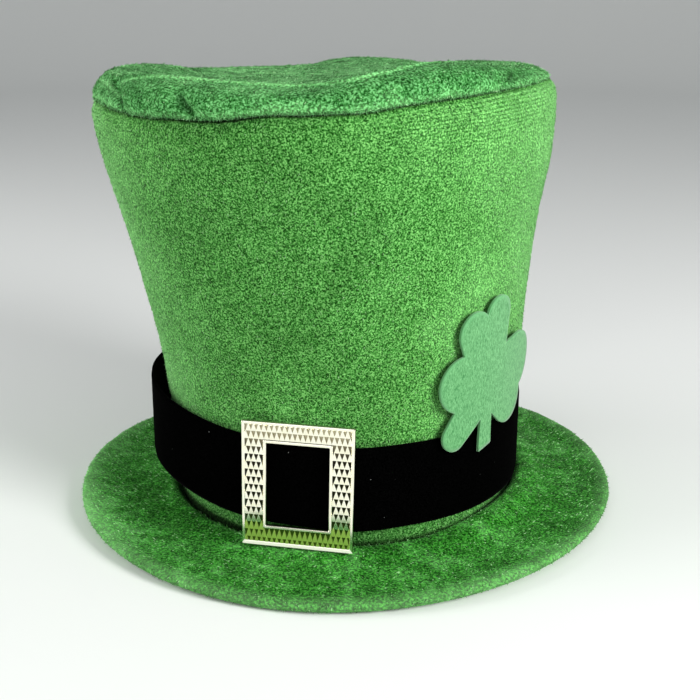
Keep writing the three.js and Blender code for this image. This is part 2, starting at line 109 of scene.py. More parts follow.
# Buckle
BUCKLE_WIDTH = 0.0565
BUCKLE_FOOT_WIDTH = 0.056
BUCKLE_HEIGHT = 0.0645
WINDOW_WIDTH = 0.0317
WINDOW_HEIGHT = 0.043
BUCKLE_PLATE = 0.0012
RIM_WIDTH = 0.0016
RIM_RISE = 0.0011
BUCKLE_AZIMUTH = 0.0
BUCKLE_LEAN = 2.4
BUCKLE_ROLL = -0.4
BUCKLE_OVER_BRIM = 0.0049
BUCKLE_SHIFT = -0.0004
FOOT_RIM = 0.0021
TOOTH_WIDTH = 0.0026
TOOTH_LENGTH = 0.00395
TOOTH_RISE = 0.0009
TOOTH_FILL = 1.27
# Teeth lower than this over the buckle's foot are painted green: a painted reflection of the brim
GREEN_REFLECTION_HEIGHT = 0.0125
TOOTH_CREST = 0.9
TOOTH_TILT = math.radians(4)
BUCKLE_BEVEL = 0.4 * MM
FRAME_OVERLAP = 0.2 * MM
GOLD, CHANNEL, LIP, GREEN_REFLECTION_GOLD = range(4)

# Shamrock
SHAMROCK_REACH = 0.0465
SHAMROCK_SHEET = 0.0015
SHAMROCK_CORE = 0.013
SHAMROCK_OVER_BAND = 0.0097
SHAMROCK_AZIMUTH = 58.0
STEM_LENGTH = 0.0375
STEM_SHIFT = -0.0009
STEM_TOP = 0.0076
STEM_END = 0.0102
STEM_SLANT = 0.0026
SHAMROCK_EDGE = 0.0003
SHAMROCK_CURL = 0.003
SHAMROCK_LIFT = 0.0005

# Steps round the hat on the plush pieces
WALL_STEPS = 460
BRIM_STEPS = 560
BAND_STEPS = 360
LEAF_STEPS = 540

# Pile: number of tufts, their length, width and depth of root
WALL_TUFTS = 48000
TOP_TUFTS = 26000
BRIM_TUFTS = 26000
FRINGE_TUFTS = 4600
PILE_ROOT = 0.0004
PILE_WIDTH = 0.00034
WALL_PILE = 0.0017
TOP_PILE = 0.002
BRIM_PILE = 0.002
BRIM_PILE_WIDTH = 0.00042
BRIM_PILE_FROM = 0.66
FRINGE_PILE = 0.0019
# Levels between which the band hides the wall, so that no pile grows there
HIDDEN_FROM = 0.021
HIDDEN_TO = 0.05

# Plush colours, from the root of the pile to its palest tips; PALE is also mixed in as painted sheen where
# the painted tone is lightest
DEEP = (0.005, 0.045, 0.003)
MIDDLE = (0.046, 0.22, 0.032)
LIGHT = (0.18, 0.49, 0.125)
PALE = (0.42, 0.76, 0.36)
PLUSH_SHEEN = (0.5, 0.95, 0.45, 1)
# Painted sheen: how far the brim's outer edge is turned pale
BRIM_EDGE_PAINTED_SHEEN = 0.15
# Painted sheen: share of the painted tone's lightness above 1 that turns pale, and the most of it
PALE_SHARE = 0.3
PALE_MOST = 0.5

# Camera as fitted to the photo: place, then azimuth, downward pitch and roll in degrees
CAMERA_PLACE = (0.1281, -0.6394, 0.2816)
CAMERA_TURN = (11.2115, 17.2177, 0.2371)
SENSOR_WIDTH = 36.0
FOCAL_LENGTH = SENSOR_WIDTH * 1200.8 / 700

# Studio: flat round floor that sweeps up to a wall, and soft lights as (name, place, size, watts)
FLOOR_RADIUS = 2.6
SWEEP_RADIUS = 1.4
LIGHT_AIM = (0, 0, 0.12)
STUDIO_LIGHTS = [
    ("key", (1.3, -0.7, 0.75), 0.7, 30),
    ("fill", (-1.35, -0.45, 0.6), 1.1, 14),
    ("front", (-0.1, -1.6, 0.9), 1.2, 6),
]

# Lift of the brim's outer edge: (azimuth, share of the lift)
BRIM_WAVES = [
    (0, 0.1), (45, 0.5), (90, 0.75), (135, 0.75), (180, 0.2), (225, 0.2), (270, 1.0), (315, 0.6),
]
# Brim from its hole to its edge: (reach, height as a share of the thickness), underneath, edge and top
BRIM_UNDER = [(0, 0), (0.1, 0), (0.2, 0), (0.3, 0), (BRIM_FLAT_REACH, 0), (0.6, 0), (0.75, 0)]
BRIM_EDGE = [
    (0.88, 0.012), (0.94, 0.04), (0.972, 0.11), (0.988, 0.22), (0.9965, 0.36), (1, 0.5),
    (0.9965, 0.64), (0.988, 0.76), (0.972, 0.87), (0.945, 0.94),
]
BRIM_TOP = [
    (0, 1), (0.045, 1), (0.058, 1), (0.085, 1.5), (0.13, 1.78), (0.22, 1.68), (0.4, 1.28),
    (0.7, 1.02), (0.945, 0.94),
]
# Flare of the crown: (share of its height, share of the way from the foot's size to the top's)
CROWN_FLARE = [
    (0, 0), (0.08, -0.01), (0.18, 0.04), (0.28, 0.13), (0.42, 0.24), (0.57, 0.42),
    (0.75, 0.68), (0.88, 0.91), (0.945, 1), (0.98, 1), (1, 0.92),
]
# Top panel from the seam to the middle: (share of the way, radius, rise over the roll, sag to the dish)
PANEL_WAY = [0, 0.02, 0.06, 0.12, 0.18, 0.26, 0.35, 0.5, 0.68, 0.86, 1]
PANEL_RADIUS = [1, 1.016, 1.02, 0.998, 0.95, 0.885, 0.8, 0.66, 0.46, 0.22, 0]
PANEL_RISE = [0, 0.16, 0.42, 0.72, 0.93, 1, 0.96, 0.9, 0.9, 0.9, 0.9]
PANEL_SAG = [0, 0, 0, 0, 0, 0, 0.12, 0.55, 0.88, 1, 1]
# Height of the roll once round: (azimuth, share of the roll's height)
ROLL_WAVES = [
    (10, 0.6), (26, 0.8), (45, 0.87), (66, 0.6), (90, 0.38), (108, 0.32), (126, 0.3), (142, 0.28),
    (156, 0.18), (168, 0.35), (176, 0.44), (184, 0.48), (191, 0.44), (198, 0.34), (216, 0.42),
    (240, 0.6), (252, 0.8), (264, 0.94), (276, 1.0), (300, 1.0), (325, 0.97), (350, 0.74),
]
# Seam of the top panel, drawn off its plain oval: (azimuth, millimetres up, millimetres in)
SEAM_DRAW = [
    (2, 1.2, 0), (8, 0.4, 0), (15, 0, 0), (23, -0.5, 0), (29, 0.7, 0.1), (42, 1.5, 0.3), (60, 1.7, 0.7),
    (80, 1.4, 0.85), (110, 0.5, 0.8), (180, 0, 0.1), (240, 1, 0.4), (270, 4, 0.3), (290, 4.9, 0.3),
    (307, 5, 0.4), (314, 3.3, 0.5), (321, 2.4, 0.4), (327, 1.1, 0.2), (340, 0.4, 0), (350, -0.4, 0),
]
# Swell of the brim beside the crown: (azimuth, share)
BRIM_SWELLS = [(0, 0), (32, 0), (50, 0.6), (66, 1), (108, 1), (150, 0), (270, 0)]
# How round the roll's shoulder is: (azimuth, share)
SHOULDER = [
    (0, 0), (30, 0), (60, 0.5), (85, 0.95), (120, 0.78), (160, 0.2), (240, 0.3),
    (270, 0.55), (290, 0.55), (312, 0.6), (330, 0),
]
# Creases pressed into the roll: (azimuth, degrees walked from seam to ridge, spread, share of the depth)
ROLL_FOLDS = [
    (346, -9, 2.6, 1.0), (322.5, -13, 3, 0.9), (58, 12, 6, 0.5), (148, -10, 7, 0.7), (222, 10, 6, 0.7),
]
# Sharp edge between the roll and the dish: (azimuth, share of the way) and (azimuth, sharpness)
RIDGE_WAY = [
    (307, 0.17), (319, 0.185), (335, 0.25), (342, 0.265), (357, 0.27), (370, 0.245),
    (379, 0.2), (388, 0.21), (399, 0.27), (540, 0.25),
]
RIDGE_SHARPNESS = [(290, 0.2), (307, 0.7), (335, 1), (360, 1), (390, 1), (405, 0.5), (430, 0), (540, 0)]
RIDGE_PINCH = 0.0016
RIDGE_SLUMP = 0.003
# Band once round: (azimuth, standoff as a share of the slack) and (azimuth, height as a share of the tilt)
BAND_STANDOFF = [
    (0, 0.08), (15, 0.3), (32, 0.04), (60, 0), (90, 0), (135, 0.12), (180, 0.35), (225, 0.7),
    (270, 1), (295, 0.75), (320, 0.3), (345, 0.26),
]
BAND_RISE = [
    (0, -0.15), (15, -0.4), (32, -0.55), (60, -0.85), (90, -1), (135, -0.7), (180, 0),
    (225, 0.7), (270, 1), (295, 0.9), (320, 0.5), (345, 0.1),
]
# Round-ended lobes of the shamrock: (direction, length, end radius), lengths as shares of its reach
SHAMROCK_LOBES = [
    (117, 0.87, 0.235), (82, 0.92, 0.22), (3, 0.97, 0.34),
    (-37, 0.86, 0.315), (228, 0.93, 0.165), (179, 0.745, 0.32),
]


# Maths that the cut patterns share


def smooth(rows, where, turn=0.0):
    """Smooth value of a table of (place, value) rows at every place in an array."""
    places = np.array([row[0] for row in rows], float)
    values = np.array([row[1] for row in rows], float)
    where = np.asarray(where, float)
    if turn:
        where = (where - places[0]) % turn + places[0]
        places = np.concatenate([places[-1:] - turn, places, places[:2] + turn])
        values = np.concatenate([values[-1:], values, values[:2]])
    else:
        places = np.concatenate([places[:1], places, places[-1:]])
        values = np.concatenate([values[:1], values, values[-1:]])
    low = np.clip(np.searchsorted(places, where, side="right") - 1, 1, len(places) - 3)
    span = places[low + 1] - places[low]
    t = np.clip((where - places[low]) / span, 0, 1)
    slope_low = (values[low + 1] - values[low - 1]) / (places[low + 1] - places[low - 1]) * span
    slope_high = (values[low + 2] - values[low]) / (places[low + 2] - places[low]) * span
    return (
        values[low] * (2 * t**3 - 3 * t**2 + 1)
        + slope_low * (t**3 - 2 * t**2 + t)
        + values[low + 1] * (3 * t**2 - 2 * t**3)
        + slope_high * (t**3 - t**2)
    )


def outwards(azimuth):
    """Sine and minus cosine of an azimuth: the direction straight out of the hat."""
    angle = np.radians(azimuth)
    return np.sin(angle), -np.cos(angle)


def degrees_between(start, end):
    """Degrees from one azimuth to another, the short way round."""
    return (end - start + TURN / 2) % TURN - TURN / 2


def bump(distance, spread):
    """A smooth hump of height 1 at distance 0."""
    return np.exp(-((distance / spread) ** 2))


def near(azimuth, middle, spread):
    """A smooth hump once round the hat."""
    return bump(degrees_between(middle, azimuth), spread)


def step(value, start, stop):
    """Smooth step from 0 at start to 1 at stop."""
    t = np.clip((value - start) / (stop - start), 0, 1)
    return t * t * (3 - 2 * t)


def lattice(cells):
    """A fixed value between -1 and 1 for each cell of a cubic lattice."""
    mixed = cells[:, 0] * 73856093 ^ cells[:, 1] * 19349663 ^ cells[:, 2] * 83492791
    mixed = (mixed ^ (mixed >> 13)) * 1274126177
    mixed = mixed ^ (mixed >> 16)
    return (mixed & 0xFFFF) / 32768.0 - 1


def roughness(points, size, seed):
    """Even noise between about -1 and 1 at every point, with features of the given size."""
    total = np.zeros(len(points))
    for octave in range(2):
        places = points / size * 2**octave + 17.3 * (seed + octave) + 40
        cells = np.floor(places).astype(np.int64)
        t = places - cells
        t = t * t * (3 - 2 * t)
        for corner in np.ndindex(2, 2, 2):
            weight = np.prod(np.where(corner, t, 1 - t), axis=1)
            total += weight * lattice(cells + corner) * 0.55**octave
    return total


# Forms that several pieces follow


def crown_oval(share):
    flare = smooth(CROWN_FLARE, share)
    half_width = HEAD_HALF_WIDTH + PLUSH
    half_depth = HEAD_HALF_DEPTH + PLUSH
    return (
        half_width + (TOP_HALF_WIDTH - half_width) * flare,
        half_depth + (TOP_HALF_DEPTH - half_depth) * flare,
    )


def leaned(x, y, z, share):
    """The crown leans over to one side, and its levels tip with it."""
    lean_x, lean_y = outwards(LEAN_AZIMUTH)
    along = x * lean_x + y * lean_y
    shift = LEAN_SHIFT * np.maximum(share, 0) ** LEAN_CURVE
    return x + lean_x * shift, y + lean_y * shift, z - np.tan(np.radians(LEAN_ANGLE * share)) * along


def crown_point(azimuth, share, inset=0.0):
    half_width, half_depth = crown_oval(share)
    out_x, out_y = outwards(azimuth)
    z = CROWN_FOOT + share * CROWN_HEIGHT
    return leaned((half_width - inset) * out_x, (half_depth - inset) * out_y, z, share)


def seam_draw(azimuth):
    """How far up and how far in the seam of the top lies from its plain oval."""
    return [smooth([(row[0], row[i]) for row in SEAM_DRAW], azimuth, TURN) * MM for i in (1, 2)]


def seam_level(azimuth):
    return crown_point(azimuth, np.ones_like(azimuth))[2] + seam_draw(azimuth)[0]


def panel_table(column, way):
    return smooth(list(zip(PANEL_WAY, column)), way)


def ridge_sharpness(azimuth):
    return np.clip(smooth(RIDGE_SHARPNESS, azimuth, TURN), 0, 1)


def brim_reach(points):
    """Distance from the axis as a share of the brim's outline."""
    return np.hypot(points[:, 0] / BRIM_HALF_WIDTH, points[:, 1] / BRIM_HALF_DEPTH)


def stretch_lines(points, below_seam):
    """Fine lines that run along the seam where the plush is pulled tight."""
    return np.sin(below_seam / STRETCH_LINE * 2 * math.pi + 2 * roughness(points, 0.03, seed=4))


def pulled_tight(azimuth):
    return near(azimuth, 55, 30) + near(azimuth, 302, 13)


def share_at_level(azimuth, level):
    share = np.zeros_like(np.asarray(azimuth, float) + np.asarray(level, float))
    for _ in range(4):
        share = share + (level - crown_point(azimuth, share)[2]) / CROWN_HEIGHT
    return np.maximum(share, 0)


def oval_normal(half_width, half_depth, azimuth):
    out_x, out_y = outwards(azimuth)
    x, y = out_x / half_width, out_y / half_depth
    length = np.hypot(x, y)
    return x / length, y / length


BAND_MIDDLE = CROWN_FOOT + BAND_OVER_BRIM + BAND_TILT + BAND_WIDTH / 2


def band_point(azimuth, edge, out=0.0):
    """Point on the band's inside, or further out, with edge -1 at its foot and 1 at its top."""
    middle = BAND_MIDDLE + BAND_TILT * smooth(BAND_RISE, azimuth, TURN)
    share = share_at_level(azimuth, middle + BAND_WIDTH / 2)
    normal_x, normal_y = oval_normal(*crown_oval(share), azimuth)
    x, y, _ = crown_point(azimuth, share)
    standoff = SEAT_GAP + BAND_SLACK * np.maximum(smooth(BAND_STANDOFF, azimuth, TURN), 0) + out
    return x + normal_x * standoff, y + normal_y * standoff, middle + edge * BAND_WIDTH / 2


# Making meshes


def coordinates(mesh, kind="co"):
    flat = np.empty(len(mesh.vertices) * 3, np.float64)
    mesh.vertices.foreach_get(kind, flat)
    return flat.reshape(-1, 3)


def set_coordinates(mesh, points):
    mesh.vertices.foreach_set("co", np.ascontiguousarray(points, np.float32).ravel())
    mesh.update()


def normals(mesh):
    return coordinates(mesh, "normal")


def push_out(mesh, push):
    """Moves every point along its normal."""
    set_coordinates(mesh, coordinates(mesh) + normals(mesh) * push[:, None])


def keep_attribute(mesh, name, values):
    layer = mesh.attributes.new(name, "FLOAT", "POINT")
    layer.data.foreach_set("value", np.ascontiguousarray(values, np.float32))


def keep_tone_and_painted_light(mesh, tone):
    """Painted tone of the plush, with its painted light and shade, and how far its lightest parts turn pale
    as painted sheen.
    """
    keep_attribute(mesh, "tone_and_painted_light", tone)
    # Painted sheen: the brim's outer edge turned pale
    painted_edge_sheen = BRIM_EDGE_PAINTED_SHEEN * step(brim_reach(coordinates(mesh)), 0.93, 1.0)
    keep_attribute(mesh, "pale", np.clip((tone - 1) * PALE_SHARE, 0, PALE_MOST) + painted_edge_sheen)


def put_in_scene(thing):
    bpy.context.scene.collection.objects.link(thing)


def piece_from(bm, name, smooth_faces=True):
    mesh = bpy.data.meshes.new(name)
    for face in bm.faces:
        face.smooth = smooth_faces
    bm.to_mesh(mesh)
    bm.free()
    piece = bpy.data.objects.new(name, mesh)
    put_in_scene(piece)
    return piece


def turned_skin(name, profile, steps):
    """A closed profile of (radius, height) carried once round the upright axis."""
    rows = len(profile)
    bm = bmesh.new()
    bmesh.ops.create_grid(bm, x_segments=steps, y_segments=rows, size=1)
    for vert in bm.verts:
        angle = math.pi * (round((vert.co.x + 1) * steps / 2) % steps) * 2 / steps
        radius, height = profile[round((vert.co.y + 1) * rows / 2) % rows]
        vert.co = (radius * math.sin(angle), -radius * math.cos(angle), height)
    bmesh.ops.remove_doubles(bm, verts=bm.verts, dist=1e-7)
    return piece_from(bm, name)


def close_up(piece):
    """Joins points that share a place and turns every face outwards."""
    reach = 1e-6
    bm = bmesh.new()
    bm.from_mesh(piece.data)
    bmesh.ops.remove_doubles(bm, verts=bm.verts, dist=reach)
    bmesh.ops.dissolve_degenerate(bm, edges=bm.edges, dist=reach)
    bmesh.ops.recalc_face_normals(bm, faces=bm.faces)
    bm.to_mesh(piece.data)
    bm.free()
    piece.data.update()


def azimuth_of(points):
    return np.degrees(np.arctan2(points[:, 0], -points[:, 1])) % TURN


def from_axis(points):
    return np.hypot(points[:, 0], points[:, 1])


def pattern_of(piece):
    """Azimuth, radius and height of every point of a turned skin."""
    pattern = coordinates(piece.data)
    return azimuth_of(pattern), from_axis(pattern), pattern[:, 2]


# Plush pieces. Each starts as a skin turned about the axis, whose radius and height are
# only places on the pattern, and is then laid on its form.


def make_crown_wall():
    outside = [(1.0, share) for share in np.linspace(0, FINE_ROWS_FROM, 110)]
    outside += [(1.0, share) for share in np.linspace(FINE_ROWS_NEXT, 1, 58)]
    inside = [(1.0 - PLUSH, share) for share in np.linspace(1, 0, 20)]
    piece = turned_skin("crown_plush_wall", outside + inside, WALL_STEPS)
    azimuth, radius, share = pattern_of(piece)
    inset = np.clip(1.0 - radius, 0, PLUSH)
    up, inwards = seam_draw(azimuth)
    x, y, z = crown_point(azimuth, share, inset + inwards * step(share, 0.965, 1))
    points = np.stack([x, y, z + up * step(share, FINE_ROWS_FROM, 0.99)], 1)
    set_coordinates(piece.data, points)
    close_up(piece)
    nap_the_wall(piece, azimuth, share, points)
    return piece


def nap_the_wall(piece, azimuth, share, points):
    below_seam = (1 - share) * CROWN_HEIGHT
    slack = roughness(points, 0.055, seed=1) * WALL_SLACK * np.clip(share * 4, 0, 1)
    tone_and_painted_light = roughness(points, 0.011, seed=2) * WALL_NAP + roughness(points, 0.0035, seed=5) * WALL_FINE_NAP
    gathers = np.sin(np.radians(azimuth) * GATHERS + 2.5 * roughness(points, 0.05, seed=3))
    pucker = gathers * GATHER_DEPTH * np.exp(-below_seam / GATHER_LENGTH)
    near_seam = bump(below_seam - STRETCH_BELOW, 0.012)
    lines = stretch_lines(points, below_seam) * pulled_tight(azimuth) * near_seam * STRETCH_DEPTH
    full_side = SIDE_FULLNESS * near(azimuth, SIDE_AZIMUTH, 45) * bump(share - 0.83, 0.09)
    fade = np.clip(share * 12, 0, 1) * np.clip((1 - share) * 100, 0, 1)
    push_out(piece.data, (slack + tone_and_painted_light + pucker + lines + full_side) * fade)


def panel_line(azimuth, way):
    """Radius as a share of the top's and height over the seam, on the panel's outside."""
    roll = ROLL_HEIGHT * smooth(ROLL_WAVES, azimuth, TURN)
    radius = panel_table(PANEL_RADIUS, way)
    rise = panel_table(PANEL_RISE, way)
    shoulder = np.clip(smooth(SHOULDER, azimuth, TURN), 0, 1)
    radius = np.where(radius > 1, 1 + (radius - 1) * (1 - shoulder), radius)
    radius = radius - SHOULDER_IN * shoulder * bump(rise - 0.68, 0.32) * (1 - step(way, 0.18, 0.3))
    sag = np.clip(panel_table(PANEL_SAG, way), 0, 1)
    press = np.zeros_like(azimuth)
    for fold_azimuth, slant, spread, depth in ROLL_FOLDS:
        press += depth * near(azimuth, fold_azimuth + slant * rise, spread)
    press *= FOLD_DEPTH * np.sin(math.pi * np.clip(rise, 0, 1)) * (1 - sag)
    past_ridge = way - smooth(RIDGE_WAY, azimuth, TURN)
    sharp = ridge_sharpness(azimuth)
    pinch = RIDGE_PINCH * bump(past_ridge, 0.02) * sharp
    slump = RIDGE_SLUMP * np.clip(past_ridge / 0.12, 0, 1) * (1 - sag) * sharp
    height = SEAT_GAP + roll * rise * (1 - sag) + DISH_HEIGHT * sag - press * rise + pinch - slump
    return radius, height, press


def make_top_panel():
    ways = np.concatenate([np.linspace(0, 0.35, 60), np.linspace(0.37, 1, 50)])
    outside = [(1 + PLUSH, way) for way in ways]
    inside = [(1.0, way) for way in ways[::-1][::2]]
    piece = turned_skin("top_plush_panel", inside + outside, WALL_STEPS)
    azimuth, skin_radius, way = pattern_of(piece)
    layer = skin_radius - 1 > PLUSH / 2
    half_width, half_depth = crown_oval(np.ones_like(way))
    radius, height, press = panel_line(azimuth, way)
    ahead, height_ahead, _ = panel_line(azimuth, np.minimum(way + 0.01, 1))
    behind, height_behind, _ = panel_line(azimuth, np.maximum(way - 0.01, 0))
    run = (ahead - behind) * half_width
    climb = height_ahead - height_behind
    length = np.maximum(np.hypot(run, climb), 1e-9)
    inset = np.where(layer, 0, PLUSH)
    over = np.where(way < 1e-6, 0, 1)
    up, inwards = seam_draw(azimuth)
    hold = 1 - step(way, 0, 0.2)
    distance = radius * half_width - inwards * hold - press - inset * np.where(over, climb / length, 1)
    height = height + up * hold + inset * over * run / length
    out_x, out_y = outwards(azimuth)
    stretch = np.minimum(distance / half_width, 1)
    x = half_width * stretch * out_x
    y = half_depth * stretch * out_y
    normal_x, normal_y = oval_normal(half_width, half_depth, azimuth)
    beyond = np.maximum(distance - half_width, 0)
    x, y = x + normal_x * beyond, y + normal_y * beyond
    z = CROWN_FOOT + CROWN_HEIGHT + height
    points = np.stack(leaned(x, y, z, np.ones_like(way)), 1)
    centre = way > 0.9999
    for chosen in (centre & layer, centre & ~layer):
        points[chosen] = points[chosen].mean(0)
    set_coordinates(piece.data, points)
    close_up(piece)
    return piece


def make_brim():
    reaches = np.linspace(0.92, 0.03, 58)
    over = list(zip(reaches, smooth(BRIM_TOP, reaches)))
    profile = [(1 + reach, height) for reach, height in BRIM_UNDER + BRIM_EDGE + over + [(0, 1)]]
    piece = turned_skin("brim_plush", profile, BRIM_STEPS)
    azimuth, radius, rise = pattern_of(piece)
    reach = radius - 1
    out_x, out_y = outwards(azimuth)
    half_width = HEAD_HALF_WIDTH + (BRIM_HALF_WIDTH - HEAD_HALF_WIDTH) * reach
    half_depth = HEAD_HALF_DEPTH + (BRIM_HALF_DEPTH - HEAD_HALF_DEPTH) * reach
    bend = np.clip((reach - BRIM_FLAT_REACH) / (1 - BRIM_FLAT_REACH), 0, 1)
    lift = BRIM_LIFT * smooth(BRIM_WAVES, azimuth, TURN) * bend**2
    z = rise * BRIM_THICKNESS + lift
    z = z + BRIM_SWELL * smooth(BRIM_SWELLS, azimuth, TURN) * step(rise, 0.95, 1.7)
    points = np.stack([half_width * out_x, half_depth * out_y, z], 1)
    set_coordinates(piece.data, points)
    close_up(piece)
    swell = roughness(points, 0.04, seed=11) * BRIM_SLACK + roughness(points, 0.01, seed=12) * BRIM_NAP
    on_top = np.clip(rise * 2 - 0.6, 0, 1) * np.clip((reach - 0.12) * 8, 0, 1)
    push_out(piece.data, swell * on_top)
    return piece


def make_band():
    rows = np.linspace(-1, 1, 26)
    outside = [(1 + BAND_THICKNESS, row) for row in rows[1:-1]]
    inside = [(1.0, row) for row in rows[::-1][1:-1]]
    lip = [(1 + BAND_THICKNESS * s, 1 + 0.004 * math.sin(math.pi * s)) for s in (0.85, 0.5, 0.15)]
    foot = [(radius, -edge) for radius, edge in lip[::-1]]
    piece = turned_skin("velvet_band", outside + lip + inside + foot, BAND_STEPS)
    azimuth, radius, edge = pattern_of(piece)
    set_coordinates(piece.data, np.stack(band_point(azimuth, edge, radius - 1), 1))
    close_up(piece)
    return piece


# Pile: short tufts rooted in a plush skin, each a slim three-sided cone


def many_tufts(name, count):
    """A mesh of many cones, one after another, and the corners of the first."""
    bm = bmesh.new()
    bmesh.ops.create_cone(bm, cap_ends=True, segments=3, radius1=1, radius2=0, depth=1)
    bmesh.ops.translate(bm, verts=bm.verts, vec=(0, 0, 0.5))
    single = piece_from(bm, name + "_single")
    one = coordinates(single.data)
    copies = single.modifiers.new("copies", "ARRAY")
    copies.count = count
    copies.use_relative_offset = False
    copies.use_constant_offset = False
    evaluated = single.evaluated_get(bpy.context.evaluated_depsgraph_get())
    piece = bpy.data.objects.new(name, bpy.data.meshes.new_from_object(evaluated))
    put_in_scene(piece)
    bpy.data.objects.remove(single)
    return piece, one


def unit(rows):
    return rows / np.linalg.norm(rows, axis=1, keepdims=True)


def grow_pile(name, skin, count, length, width, lay, seed, where, tone_and_painted_light):
    """Tufts all over the part of a skin that where() picks, leaning the way lay() says."""
    random_source = np.random.default_rng(seed)
    mesh = skin.data
    mesh.calc_loop_triangles()
    corners = np.empty(len(mesh.loop_triangles) * 3, np.int32)
    mesh.loop_triangles.foreach_get("vertices", corners)
    corners = corners.reshape(-1, 3)
    points, directions = coordinates(mesh), normals(mesh)
    a, b, c = (points[corners[:, i]] for i in range(3))
    area = np.linalg.norm(np.cross(b - a, c - a), axis=1) * where(points[corners].mean(1))
    chosen = np.searchsorted(np.cumsum(area), random_source.random(count) * area.sum())
    weights = random_source.random((count, 3)) + 0.05
    weights = weights / weights.sum(1, keepdims=True)
    roots, out = ((rows[corners[chosen]] * weights[:, :, None]).sum(1) for rows in (points, directions))
    out = unit(out)
    tangent, lean = lay(roots, out)
    tangent = tangent + random_source.normal(0, 0.45, (count, 3))
    tangent = unit(tangent - out * (tangent * out).sum(1, keepdims=True))
    lean = np.radians(lean + random_source.normal(0, 9, count))[:, None]
    along = out * np.cos(lean) + tangent * np.sin(lean)
    side = unit(np.cross(along, out))
    third = np.cross(along, side)
    tall = length * random_source.uniform(0.65, 1.25, (count, 1, 1))
    wide = width * random_source.uniform(0.7, 1.3, (count, 1, 1))
    piece, one = many_tufts(name, count)
    roots = roots - out * PILE_ROOT
    places = roots[:, None] + along[:, None] * one[None, :, 2:] * tall
    places = places + (side[:, None] * one[None, :, :1] + third[:, None] * one[None, :, 1:2]) * wide
    places = places.reshape(-1, 3)
    set_coordinates(piece.data, places)
    keep_attribute(piece.data, "shade", np.repeat(random_source.random(count), len(one)))
    keep_attribute(piece.data, "tip", np.tile(one[:, 2], count))
    keep_tone_and_painted_light(piece.data, tone_and_painted_light(places))
    return piece


# Buckle


def plate_ring(bm, outline, hole, low, high):
    """A flat frame between two four-cornered outlines, from height low to high."""
    rings = []
    for corners, level in ((outline, low), (outline, high), (hole, high), (hole, low)):
        rings.append([bm.verts.new((x, y, level)) for x, y in corners])
    for a, b in zip(rings, rings[1:] + rings[:1]):
        for i in range(4):
            j = (i + 1) % 4
            bm.faces.new((a[i], a[j], b[j], b[i]))


def four_corners(width, foot_width, height, grow=0.0):
    y = height / 2 + grow
    head, foot = width / 2 + grow, foot_width / 2 + grow
    return [(-foot, -y), (foot, -y), (head, y), (-head, y)]


def buckle_place():
    """The buckle's plane lies against the outermost points of the band."""
    out_x, out_y = outwards(BUCKLE_AZIMUTH)
    out = Vector((out_x, out_y, 0))
    across = Vector((-out_y, out_x, 0))
    out.rotate(Matrix.Rotation(math.radians(-BUCKLE_LEAN), 3, across))
    up = out.cross(across)
    middle = Vector([float(v) for v in band_point(BUCKLE_AZIMUTH, 0, BAND_THICKNESS)])
    middle.z = CROWN_FOOT + BUCKLE_OVER_BRIM + BUCKLE_HEIGHT / 2
    reach = -1.0
    for azimuth in np.arange(-45, 45, 2.25):
        for edge in (-1, 1):
            point = Vector([float(v) for v in band_point(BUCKLE_AZIMUTH + azimuth, edge, BAND_THICKNESS)])
            off = point - middle
            if abs(off.dot(across)) < BUCKLE_WIDTH / 2:
                reach = max(reach, off.dot(out))
    middle += out * (reach + SEAT_GAP)
    middle += across * BUCKLE_SHIFT
    turn = Matrix((across, up, out)).transposed().to_4x4()
    return Matrix.Translation(middle) @ turn @ Matrix.Rotation(math.radians(BUCKLE_ROLL), 4, "Z")


def tooth_places():
    """Staggered rows that fill the channel between the rims, and run just under them."""
    places = []
    for row in range(-8, 8):
        y = (row + 0.5) * TOOTH_LENGTH
        width_here = BUCKLE_FOOT_WIDTH + (BUCKLE_WIDTH - BUCKLE_FOOT_WIDTH) * (0.5 + y / BUCKLE_HEIGHT)
        for column in range(-11, 12):
            x = (column + row % 2 / 2) * TOOTH_WIDTH
            beside = abs(x) > WINDOW_WIDTH / 2 + RIM_WIDTH
            beyond = abs(y) > WINDOW_HEIGHT / 2 + RIM_WIDTH
            above_lip = y > FOOT_RIM - BUCKLE_HEIGHT / 2
            if (beside or beyond) and above_lip and abs(x) < width_here / 2 - RIM_WIDTH:
                places.append((x, y))
    return places


